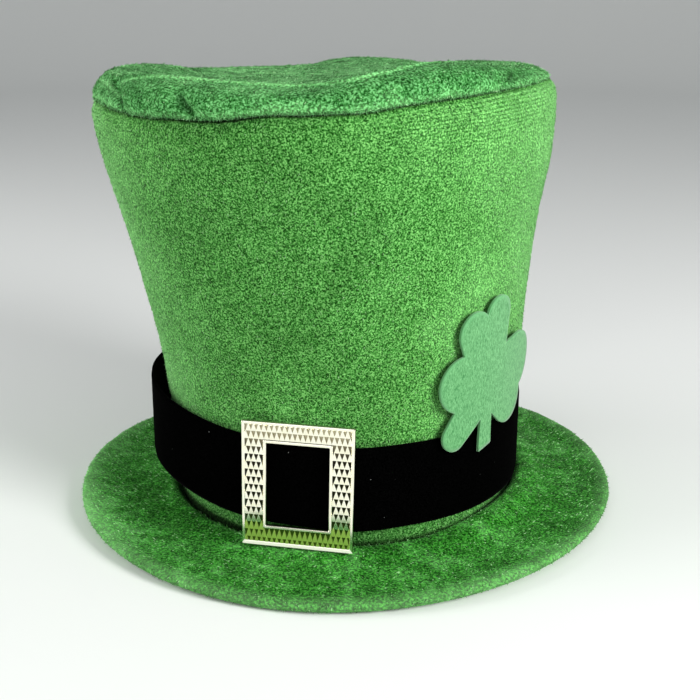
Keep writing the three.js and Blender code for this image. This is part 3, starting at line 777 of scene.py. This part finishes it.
def make_buckle():
    outline = (BUCKLE_WIDTH, BUCKLE_FOOT_WIDTH, BUCKLE_HEIGHT)
    window = (WINDOW_WIDTH, WINDOW_WIDTH, WINDOW_HEIGHT)
    full = BUCKLE_PLATE + RIM_RISE
    bm = bmesh.new()
    plate = (four_corners(*outline, -FRAME_OVERLAP), four_corners(*window, FRAME_OVERLAP))
    plate_ring(bm, *plate, 0, BUCKLE_PLATE)
    lip_top = FOOT_RIM - BUCKLE_HEIGHT / 2
    inside = [(x, max(y, lip_top)) for x, y in four_corners(*outline, -RIM_WIDTH)]
    plate_ring(bm, four_corners(*outline), inside, 0, full)
    plate_ring(bm, four_corners(*window, RIM_WIDTH), four_corners(*window), 0, full)
    bmesh.ops.recalc_face_normals(bm, faces=bm.faces)
    bmesh.ops.bevel(
        bm, geom=list(bm.edges), offset=BUCKLE_BEVEL, segments=3, profile=0.5, affect="EDGES",
        clamp_overlap=True, material=-1,
    )
    for face in bm.faces:
        middle = face.calc_center_median()
        on_plate = BUCKLE_PLATE * 0.9 < middle.z < BUCKLE_PLATE * 1.001
        on_lip = middle.y < lip_top and middle.z > BUCKLE_PLATE
        face.material_index = CHANNEL if on_plate else LIP if on_lip else GOLD
    size = (TOOTH_WIDTH * TOOTH_FILL / math.sqrt(3), TOOTH_LENGTH * TOOTH_FILL / 1.5, 1)
    for x, y in tooth_places():
        tooth = bmesh.ops.create_cone(
            bm, cap_ends=True, segments=3, radius1=1, radius2=TOOTH_CREST, depth=TOOTH_RISE,
        )["verts"]
        for face in {face for vert in tooth for face in vert.link_faces}:
            face.material_index = GREEN_REFLECTION_GOLD if y < GREEN_REFLECTION_HEIGHT - BUCKLE_HEIGHT / 2 else GOLD
        tip_up = math.pi / 2 - math.atan2(tooth[0].co.y, tooth[0].co.x)
        bmesh.ops.rotate(bm, verts=tooth, cent=(0, 0, 0), matrix=Matrix.Rotation(tip_up, 3, "Z"))
        bmesh.ops.scale(bm, verts=tooth, vec=size)
        bmesh.ops.rotate(bm, verts=tooth, cent=(0, 0, 0), matrix=Matrix.Rotation(TOOTH_TILT, 3, "X"))
        bmesh.ops.translate(bm, verts=tooth, vec=(x, y - size[1] / 4, BUCKLE_PLATE + TOOTH_RISE / 2))
    bmesh.ops.transform(bm, matrix=buckle_place(), verts=bm.verts)
    return piece_from(bm, "gold_buckle", smooth_faces=False)


# Shamrock


def sheet_point(azimuth, z, out):
    """The felt rests on the band at the stem's end and on the crown behind its top."""
    middle = shamrock_middle()
    low = middle - STEM_LENGTH - STEM_SLANT
    high = middle + SHAMROCK_REACH
    foot_x, foot_y, _ = band_point(azimuth, 0, BAND_THICKNESS)
    share = share_at_level(azimuth, high)
    head_x, head_y, _ = crown_point(azimuth, share)
    normal_x, normal_y = oval_normal(*crown_oval(share), azimuth)
    way = (z - low) / (high - low)
    lift = 2 * SEAT_GAP + SHAMROCK_LIFT + out
    x = foot_x + (head_x - foot_x) * way + normal_x * lift
    y = foot_y + (head_y - foot_y) * way + normal_y * lift
    return x, y, z


def shamrock_middle():
    top = float(band_point(SHAMROCK_AZIMUTH, 1)[2])
    return top - SHAMROCK_OVER_BAND + STEM_LENGTH


def lobe_reach(direction, lobe_direction, length, end):
    """How far a lobe reaches along a direction: a round end joined to the round core."""
    radius = end * SHAMROCK_REACH
    centre = (length - end) * SHAMROCK_REACH
    turned = np.abs(np.radians(degrees_between(lobe_direction, direction)))
    side = math.acos((SHAMROCK_CORE - radius) / centre)
    touch = math.atan2(radius * math.sin(side), centre + radius * math.cos(side))
    along_side = SHAMROCK_CORE / np.cos(np.clip(side - turned, 0, 1.5))
    off = np.sqrt(np.maximum(radius**2 - (centre * np.sin(turned)) ** 2, 0))
    on_end = centre * np.cos(turned) + off
    return np.where(turned > side, SHAMROCK_CORE, np.where(turned > touch, along_side, on_end))


def stem_reach(direction):
    """How far the stem reaches along a direction, with its end cut on a slant."""
    u, v = np.cos(np.radians(direction)), np.sin(np.radians(direction))
    reach = np.full_like(u, 1.0)
    for hand in (-1, 1):
        foot = -STEM_LENGTH + hand * STEM_SLANT / 2
        top, end = hand * STEM_TOP / 2 + STEM_SHIFT, hand * STEM_END / 2 + STEM_SHIFT
        across = u * foot - v * (end - top)
        edge = top * foot / np.where(np.abs(across) < 1e-9, 1e-9, across)
        reach = np.where(edge > 0, np.minimum(reach, edge), reach)
    fall = v - u * STEM_SLANT / STEM_END
    cut = -STEM_LENGTH / np.where(np.abs(fall) < 1e-9, 1e-9, fall)
    reach = np.where(cut > 0, np.minimum(reach, cut), reach)
    return np.where(v < -1e-6, reach, 0)


def shamrock_reach(direction):
    reach = stem_reach(direction)
    for lobe in SHAMROCK_LOBES:
        reach = np.maximum(reach, lobe_reach(direction, *lobe))
    return reach


def make_shamrock():
    inner = np.linspace(0, 1, 16)
    front = [(way, SHAMROCK_SHEET) for way in inner]
    back = [(way, 0) for way in inner[::-1]]
    edge = [(1 + SHAMROCK_EDGE * math.cos(a) - SHAMROCK_EDGE, SHAMROCK_SHEET / 2 * (1 + 0.8 * math.sin(a)))
            for a in np.radians([60, 30, 0, -30, -60])]
    piece = turned_skin("felt_shamrock", front + edge + back, LEAF_STEPS)
    pattern = coordinates(piece.data)
    direction = np.degrees(np.arctan2(pattern[:, 1], pattern[:, 0]))
    way = from_axis(pattern)
    reach = shamrock_reach(direction) * np.minimum(way, 1) + np.where(way > 1, way - 1, 0)
    u, v = reach * np.cos(np.radians(direction)), reach * np.sin(np.radians(direction))
    across = np.array(outwards(SHAMROCK_AZIMUTH + 90))
    middle = shamrock_middle()
    start = np.array(sheet_point(SHAMROCK_AZIMUTH, middle, 0)[:2]) @ across
    azimuth = np.full(len(u), SHAMROCK_AZIMUTH)
    for _ in range(8):
        x, y, z = sheet_point(azimuth, middle + v, 0)
        gap = u - (x * across[0] + y * across[1] - start)
        azimuth = azimuth + np.degrees(gap / TOP_HALF_WIDTH)
    curl = SHAMROCK_CURL * np.clip(np.hypot(u, v) / SHAMROCK_REACH - 0.45, 0, 1) ** 2
    points = np.stack(sheet_point(azimuth, middle + v, pattern[:, 2] + curl), 1)
    set_coordinates(piece.data, points)
    keep_attribute(piece.data, "cut_edge", np.clip(way * 40 - 39, 0, 1))
    close_up(piece)
    return piece


# Finishes


class Finish:
    """One procedural material, built node by node on the piece's own coordinates."""

    def __init__(self, name):
        self.material = bpy.data.materials.new(name)
        self.material.use_nodes = True
        self.nodes = self.material.node_tree.nodes
        self.links = self.material.node_tree.links
        self.shader = self.nodes["Principled BSDF"]
        self.place = self.nodes.new("ShaderNodeTexCoord").outputs["Object"]

    def link(self, start, end):
        self.links.new(start, end)

    def noise(self, size, detail=2.0, rough=0.5, stretch=(1, 1, 1), warp=0.0):
        mapping = self.nodes.new("ShaderNodeMapping")
        mapping.inputs["Scale"].default_value = [s / size for s in stretch]
        self.link(self.place, mapping.inputs["Vector"])
        node = self.nodes.new("ShaderNodeTexNoise")
        settings = {"Scale": 1.0, "Detail": detail, "Roughness": rough, "Distortion": warp}
        for name, value in settings.items():
            node.inputs[name].default_value = value
        self.link(mapping.outputs["Vector"], node.inputs["Vector"])
        return node.outputs["Fac"]

    def ramp(self, value, stops):
        node = self.nodes.new("ShaderNodeValToRGB")
        elements = node.color_ramp.elements
        while len(elements) < len(stops):
            elements.new(0.5)
        for element, (position, colour) in zip(elements, stops):
            element.position = position
            element.color = (*colour, 1)
        self.link(value, node.inputs["Fac"])
        return node.outputs["Color"]

    def mix(self, factor, a, b, blend="MIX"):
        node = self.nodes.new("ShaderNodeMix")
        node.data_type = "RGBA"
        node.blend_type = blend
        if isinstance(factor, float):
            node.inputs[0].default_value = factor
        else:
            self.link(factor, node.inputs[0])
        for socket, value in ((node.inputs[6], a), (node.inputs[7], b)):
            if isinstance(value, tuple):
                socket.default_value = (*value, 1)
            else:
                self.link(value, socket)
        return node.outputs[2]

    def times(self, value, share):
        node = self.nodes.new("ShaderNodeMath")
        node.operation = "MULTIPLY"
        self.link(value, node.inputs[0])
        node.inputs[1].default_value = share
        return node.outputs[0]

    def attribute(self, name):
        node = self.nodes.new("ShaderNodeAttribute")
        node.attribute_name = name
        return node.outputs["Fac"]

    def bump(self, height, distance, strength):
        node = self.nodes.new("ShaderNodeBump")
        node.inputs["Strength"].default_value = strength
        node.inputs["Distance"].default_value = distance
        self.link(height, node.inputs["Height"])
        self.link(node.outputs["Normal"], self.shader.inputs["Normal"])

    def set(self, **values):
        for name, value in values.items():
            self.shader.inputs[name.replace("_", " ")].default_value = value

    def paint(self, colour):
        self.link(colour, self.shader.inputs["Base Color"])

    def brush(self, colour, roughness_of_pile, sheen):
        """Multiplies a plush colour by its painted tone, light and shade, mixes in the painted sheen's
        paleness, and sets a sheen where that tone is light.
        """
        colour = self.mix(1.0, colour, self.attribute("tone_and_painted_light"), "MULTIPLY")
        self.paint(self.mix(self.attribute("pale"), colour, PALE))
        self.link(self.times(self.attribute("tone_and_painted_light"), sheen), self.shader.inputs["Sheen Weight"])
        self.set(Roughness=roughness_of_pile, Sheen_Roughness=0.35, Sheen_Tint=PLUSH_SHEEN)
        self.set(Specular_IOR_Level=0.03)


def toned(red, green, blue):
    """The plush colours from deep to light, each part of them scaled."""
    return [(red * r, green * g, blue * b) for r, g, b in (DEEP, MIDDLE, LIGHT)]


def velour(name, deep, middle, light, sheen, tuft):
    """The plush itself, as it shows between the tufts of its pile."""
    finish = Finish(name)
    grain = finish.noise(tuft, detail=2.0, rough=0.6, warp=0.4)
    tufts = finish.ramp(grain, [(0.36, deep), (0.5, middle), (0.62, light)])
    brushed = finish.noise(7 * MM, detail=3, rough=0.6)
    patches = finish.ramp(brushed, [(0.3, (0.8, 0.82, 0.78)), (0.7, (1.1, 1.08, 1.1))])
    finish.brush(finish.mix(1.0, tufts, patches, "MULTIPLY"), 0.9, sheen)
    finish.bump(grain, 0.8 * MM, 0.9)
    return finish.material


def pile_velour(name, deep, middle, light, sheen):
    """The tufts of the pile, each of its own shade, with painted shade making it darker towards its root.
    """
    finish = Finish(name)
    tone = finish.ramp(finish.attribute("shade"), [(0.12, deep), (0.5, middle), (0.86, light), (1.0, PALE)])
    root_shade = finish.ramp(finish.attribute("tip"), [(0.0, (0.2, 0.26, 0.18)), (0.8, (1.15, 1.1, 1.15))])
    finish.brush(finish.mix(1.0, tone, root_shade, "MULTIPLY"), 0.85, sheen)
    return finish.material


def velvet_black():
    finish = Finish("black_velvet_ribbon")
    grain = finish.noise(0.7 * MM, detail=2)
    pile = finish.ramp(grain, [(0.35, (0.0, 0.0, 0.0)), (0.7, (0.0012, 0.0012, 0.0012))])
    specks = finish.noise(1.6 * MM, detail=1, rough=0.4, stretch=(1, 1, 0.7))
    lint = finish.ramp(specks, [(0.815, (0.0, 0.0, 0.0)), (0.83, (0.16, 0.17, 0.16))])
    finish.paint(finish.mix(1.0, pile, lint, "ADD"))
    finish.set(Roughness=1.0, Sheen_Weight=0.012, Sheen_Roughness=0.3, Specular_IOR_Level=0.0)
    finish.bump(grain, 0.3 * MM, 0.6)
    return finish.material


def gold_plate():
    finish = Finish("pale_gold_plate")
    cloud = finish.noise(6 * MM, detail=3)
    finish.paint(finish.ramp(cloud, [(0.3, (0.96, 0.92, 0.72)), (0.7, (0.99, 0.97, 0.84))]))
    finish.set(Metallic=1.0, Roughness=0.16)
    return finish.material


def shadowed_gold():
    """The plate between the teeth, painted by height: a painted reflection of the plush's green over the
    brim, painted shade black at the band, painted light at the top.
    """
    finish = Finish("shadowed_gold_channel")
    split = finish.nodes.new("ShaderNodeSeparateXYZ")
    finish.link(finish.place, split.inputs[0])
    painted_shade_and_reflections = [
        (0.012, (0.11, 0.17, 0.02)), (0.02, (0.04, 0.09, 0.012)), (0.03, (0.012, 0.015, 0.005)),
        (0.06, (0.02, 0.016, 0.01)), (0.067, (0.25, 0.22, 0.14)), (0.072, (0.5, 0.46, 0.32)),
    ]
    finish.paint(finish.ramp(split.outputs["Z"], painted_shade_and_reflections))
    finish.set(Metallic=1.0, Roughness=0.4)
    return finish.material


def even(name, colour, metallic, rough):
    """A finish of one even colour."""
    finish = Finish(name)
    finish.set(Base_Color=(*colour, 1), Metallic=metallic, Roughness=rough)
    return finish.material


def felt():
    finish = Finish("light_green_felt")
    fibres = finish.noise(0.75 * MM, detail=3, rough=0.7, stretch=(1, 1, 0.4), warp=0.8)
    colour = finish.ramp(fibres, [(0.36, (0.03, 0.17, 0.045)), (0.62, (0.14, 0.375, 0.15))])
    finish.paint(finish.mix(finish.attribute("cut_edge"), colour, (0.12, 0.35, 0.14)))
    finish.set(Roughness=0.9, Sheen_Weight=0.25, Sheen_Roughness=0.5, Specular_IOR_Level=0.2)
    finish.bump(fibres, 0.25 * MM, 0.5)
    return finish.material


# Studio


def make_camera():
    azimuth, pitch, roll = (math.radians(v) for v in CAMERA_TURN)
    level = math.cos(pitch)
    look = Vector((-math.sin(azimuth) * level, math.cos(azimuth) * level, -math.sin(pitch)))
    lens = bpy.data.cameras.new("camera")
    lens.sensor_width = SENSOR_WIDTH
    lens.lens = FOCAL_LENGTH
    camera = bpy.data.objects.new("camera", lens)
    put_in_scene(camera)
    turn = look.to_track_quat("-Z", "Y").to_matrix().to_4x4() @ Matrix.Rotation(roll, 4, "Z")
    camera.matrix_world = Matrix.Translation(CAMERA_PLACE) @ turn
    bpy.context.scene.camera = camera


def soft_light(name, place, size, power):
    lamp = bpy.data.lights.new(name, "AREA")
    lamp.shape = "DISK"
    lamp.size = size
    lamp.energy = power
    light = bpy.data.objects.new(name, lamp)
    light.location = place
    aim = Vector(LIGHT_AIM) - Vector(place)
    light.rotation_euler = aim.to_track_quat("-Z", "Y").to_euler()
    put_in_scene(light)


def make_studio():
    bm = bmesh.new()
    chain = [bm.verts.new((0, 0, 0))]
    for turn in np.radians(range(0, 91, 6)):
        radius = FLOOR_RADIUS + SWEEP_RADIUS * math.sin(turn)
        chain.append(bm.verts.new((radius, 0, SWEEP_RADIUS - SWEEP_RADIUS * math.cos(turn))))
    links = [bm.edges.new(pair) for pair in zip(chain, chain[1:])]
    bmesh.ops.spin(
        bm, geom=chain + links, cent=(0, 0, 0), axis=(0, 0, 1), dvec=(0, 0, 0),
        angle=2 * math.pi, steps=96, use_merge=True, use_duplicate=False,
    )
    bmesh.ops.remove_doubles(bm, verts=bm.verts, dist=1e-6)
    floor = piece_from(bm, "floor")
    floor.data.materials.append(even("pale_floor", (0.86, 0.87, 0.85), 0.0, 0.7))
    world = bpy.data.worlds.new("studio")
    world.use_nodes = True
    sky = world.node_tree.nodes["Background"].inputs
    sky["Color"].default_value = (0.9, 0.93, 0.95, 1)
    sky["Strength"].default_value = 0.36
    bpy.context.scene.world = world
    for row in STUDIO_LIGHTS:
        soft_light(*row)
    bpy.context.scene.view_settings.view_transform = "Standard"


def dress(piece, node, slot, *materials):
    for material in materials:
        piece.data.materials.append(material)
    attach(piece, "root")
    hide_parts(node)


# Painted tone: how light each part of the plush is painted, with painted light and shade, and which way its
# pile lies


def wall_tone_and_painted_light(points):
    """Painted tone of the wall: lighter towards both sides of the front, as painted light on the right side
    and painted sheen along the left, plainer between; random mottling, lines where the plush is pulled
    tight, and painted shade under the seam and at the foot.
    """
    azimuth = azimuth_of(points)
    tone = 0.9
    # Painted light: the right side lighter as if lit from the right, the left side and its edge lighter as
    # painted sheen
    for middle, spread, lighter in ((72, 40, 0.38), (315, 24, 0.25), (284, 15, 1.1)):
        tone = tone + lighter * near(azimuth, middle, spread)
    tone += 0.1 * roughness(points, 0.045, seed=31) + 0.07 * roughness(points, 0.014, seed=32)
    place, _ = panel_place(points)
    below = seam_level(place) - points[:, 2]
    near_seam = bump(below - STRETCH_BELOW, 0.014)
    tone += 0.33 * stretch_lines(points, below) * pulled_tight(place) * near_seam
    # Painted shade: darker just under the seam at the front left, under the roll's overhang
    tone -= 0.28 * near(place, 348, 22) * bump(below, 0.006)
    above_foot = points[:, 2] - CROWN_FOOT
    # Painted shade on the wall's foot: its lowest strip darker, and a painted shadow, wider at the front
    # left, in the gap just over the brim
    gap = FOOT_SHADOW + FOOT_SHADOW * 0.7 * near(azimuth, FOOT_SHADOW_AZIMUTH, 38)
    tone = tone * (1 - 0.18 * step(above_foot, 0.024, 0.02))
    tone = tone * (1 - 0.93 * step(above_foot, gap + 0.0018, gap - 0.0018))
    # Painted shade: a dark line along the seam
    return np.clip(tone - 0.75 * bump(below, 0.0009), 0.05, 2)


def panel_place(points):
    """Azimuth and radius share of points on the top panel, once its lean is taken off."""
    shift_x, shift_y = (float(v) * LEAN_SHIFT for v in outwards(LEAN_AZIMUTH))
    x = (points[:, 0] - shift_x) / TOP_HALF_WIDTH
    y = (points[:, 1] - shift_y) / TOP_HALF_DEPTH
    return np.degrees(np.arctan2(x, -y)) % TURN, np.hypot(x, y)


def panel_tone_and_painted_light(points):
    azimuth, radius = panel_place(points)
    ridge = panel_table(PANEL_RADIUS, smooth(RIDGE_WAY, azimuth, TURN))
    sharp = ridge_sharpness(azimuth)
    # Painted highlight along the ridge of the roll
    tone = 1.02 + 0.8 * sharp * bump(radius - ridge + 0.003, 0.007)
    tone -= 0.2 * near(azimuth, 68, 34)
    # Painted shadow just behind the ridge
    tone -= 0.15 * sharp * bump(radius - ridge + 0.035, 0.02)
    above = points[:, 2] - seam_level(azimuth)
    climb = np.clip(above / (ROLL_HEIGHT * smooth(ROLL_WAVES, azimuth, TURN)), 0, 1)
    # Painted shade in the creases of the roll
    for fold_azimuth, slant, spread, depth in ROLL_FOLDS:
        crease = near(azimuth, fold_azimuth + slant * climb, spread * 0.36)
        tone -= 0.8 * depth * crease * step(radius, 0.88, 0.95) * step(climb, 0.85, 0.5)
    in_dish = step(radius, 0.9, 0.8)
    tone += 0.2 * roughness(points, 0.02, seed=33)
    tone += (0.2 + 0.2 * in_dish) * roughness(points, 0.005, seed=34)
    # Painted light on the roll's lowest strip, which faces down into shade
    tone += 0.3 * bump(above - 0.0026, 0.0016) * step(radius, 0.9, 0.95)
    # Painted shade: a dark line at the seam
    tone -= 0.8 * bump(above, 0.0005) * step(radius, 0.93, 0.96)
    return np.clip(tone, 0.15, 2)


def brim_tone_and_painted_light(points):
    azimuth, reach = azimuth_of(points), brim_reach(points)
    streak = roughness(np.stack([azimuth / 40, reach / 3, 0 * reach], 1), 0.05, seed=38)
    tone = 1.02 - 0.04 * step(reach, 0.93, 0.985) + 0.13 * streak
    # Painted sheen: the brim's left edge lighter
    tone += 0.5 * near(azimuth, 292, 34) * step(reach, 0.84, 0.97)
    # Painted shadow of the crown and band on the brim's front left
    tone -= 0.3 * near(azimuth, 318, 24) * bump(reach - 0.76, 0.1)
    tone -= 0.12 * near(azimuth, 70, 22) * bump(reach - 0.84, 0.08)
    tone += 0.15 * roughness(points, 0.018, seed=35) + 0.26 * roughness(points, 0.005, seed=36)
    shadow = 0.3 + 0.6 * near(azimuth, FOOT_SHADOW_AZIMUTH, 38)
    return np.clip(tone * (1 - shadow * bump(reach - 0.652, 0.02)), 0.05, 2)


def nap_down(roots, out):
    """Brushed down the wall, in slow swirls."""
    turn = roughness(roots, 0.03, seed=21) * 0.9
    lay = np.stack([np.sin(turn) * out[:, 1], -np.sin(turn) * out[:, 0], -np.cos(turn)], 1)
    return lay, np.full(len(roots), 62.0)


def nap_over_top(roots, out):
    turn = roughness(roots, 0.02, seed=22) * 2.2 + 0.6
    lay = np.stack([np.cos(turn), -np.sin(turn), np.zeros(len(roots))], 1)
    return lay, np.full(len(roots), 60.0)


def nap_outwards(roots, out):
    turn = roughness(roots, 0.015, seed=23) * 1.1 + np.arctan2(roots[:, 1], roots[:, 0])
    lean = 60 + 10 * roughness(roots, 0.008, seed=24) + 14 * step(brim_reach(roots), 0.94, 0.98)
    return np.stack([np.cos(turn), np.sin(turn), np.zeros(len(roots))], 1), lean


def nap_over_seam(roots, out):
    """The panel's lowest pile hangs over the seam."""
    fall = np.tile((0.0, 0.0, -1.0), (len(roots), 1))
    return fall, np.full(len(roots), 58.0)


def foot_of_panel(points):
    """The strip of the roll's outside just over the seam."""
    azimuth, radius = panel_place(points)
    height = points[:, 2] - seam_level(azimuth)
    return 1.0 * (height > 0.0006) * (height < 0.0026) * (radius > 0.97)


def fringe_tone_and_painted_light(points):
    # Painted light: the fringe's tufts lightened, over the shade of the roll's underside
    return 1.45 + 0.2 * roughness(points, 0.01, seed=37)


def outside_of_wall(points):
    azimuth = azimuth_of(points)
    share = share_at_level(azimuth, points[:, 2])
    x, y, _ = crown_point(azimuth, share, PLUSH / 2)
    outside = from_axis(points) > np.hypot(x, y)
    return outside * ((points[:, 2] > HIDDEN_TO) | (points[:, 2] < HIDDEN_FROM))


def top_of_panel(points):
    azimuth = azimuth_of(points)
    x, y, z = crown_point(azimuth, np.ones(len(points)), PLUSH)
    inside = from_axis(points) < np.hypot(x, y) * 0.995
    return 1.0 * ((points[:, 2] > z + PLUSH * 1.2) | ~inside)


def upper_brim(points):
    reach = brim_reach(points)
    return 1.0 * ((points[:, 2] > BRIM_THICKNESS * 0.6) | (reach > 0.985)) * (reach > BRIM_PILE_FROM)


# Making the hat

make_camera()
make_studio()

plush = velour("crown_velour", *toned(1, 1, 1), 0.31, 0.85 * MM)
plush_pile = pile_velour("crown_pile", *toned(1, 1, 1), 0.31)
top_velour = velour("top_velour", *toned(0.88, 0.97, 1.3), 0.2, 1.1 * MM)
top_pile_velour = pile_velour("top_pile_velour", *toned(0.88, 0.97, 1.3), 0.2)
# The brim's copies of the plush are darker and greener: painted shade for the darker look its nap takes on
# the flat brim
brim_velour = velour("brim_velour", *toned(0.4, 0.78, 0.34), 0.16, 1.2 * MM)
brim_pile_velour = pile_velour("brim_pile_velour", *toned(0.7, 0.97, 0.68), 0.2)

wall = make_crown_wall()
dress(wall, "crown_wall", "green_plush", plush)
keep_tone_and_painted_light(wall.data, wall_tone_and_painted_light(coordinates(wall.data)))
wall_pile = grow_pile(
    "crown_wall_pile", wall, WALL_TUFTS, WALL_PILE, PILE_WIDTH, nap_down, 5, outside_of_wall, wall_tone_and_painted_light,
)
dress(wall_pile, "crown_wall", "green_plush", plush_pile)
top = make_top_panel()
dress(top, "top_panel", "green_plush", top_velour)
keep_tone_and_painted_light(top.data, panel_tone_and_painted_light(coordinates(top.data)))
top_pile = grow_pile(
    "top_panel_pile", top, TOP_TUFTS, TOP_PILE, PILE_WIDTH, nap_over_top, 6, top_of_panel, panel_tone_and_painted_light,
)
dress(top_pile, "top_panel", "green_plush", top_pile_velour)
fringe = grow_pile(
    "seam_fringe", top, FRINGE_TUFTS, FRINGE_PILE, PILE_WIDTH, nap_over_seam, 8, foot_of_panel, fringe_tone_and_painted_light,
)
dress(fringe, "top_panel", "green_plush", top_pile_velour)
brim = make_brim()
dress(brim, "brim", "green_plush", brim_velour)
keep_tone_and_painted_light(brim.data, brim_tone_and_painted_light(coordinates(brim.data)))
brim_pile = grow_pile(
    "brim_pile", brim, BRIM_TUFTS, BRIM_PILE, BRIM_PILE_WIDTH, nap_outwards, 7, upper_brim, brim_tone_and_painted_light,
)
dress(brim_pile, "brim", "green_plush", brim_pile_velour)
band = make_band()
dress(band, "hat_band", "black_velvet", velvet_black())
buckle = make_buckle()
# The bottom rim is painted bright, a painted highlight as if it caught the light from every side, and the
# lowest teeth are painted the plush's green, a painted reflection of the brim
painted_highlight_lip = even("bright_gold_lip", (1.0, 0.97, 0.85), 0.2, 0.3)
painted_green_reflection = even("green_lit_gold", (0.42, 0.62, 0.12), 0.6, 0.3)
dress(buckle, "buckle", "gold_plate", gold_plate(), shadowed_gold(), painted_highlight_lip, painted_green_reflection)
leaf = make_shamrock()
dress(leaf, "shamrock", "green_felt", felt())
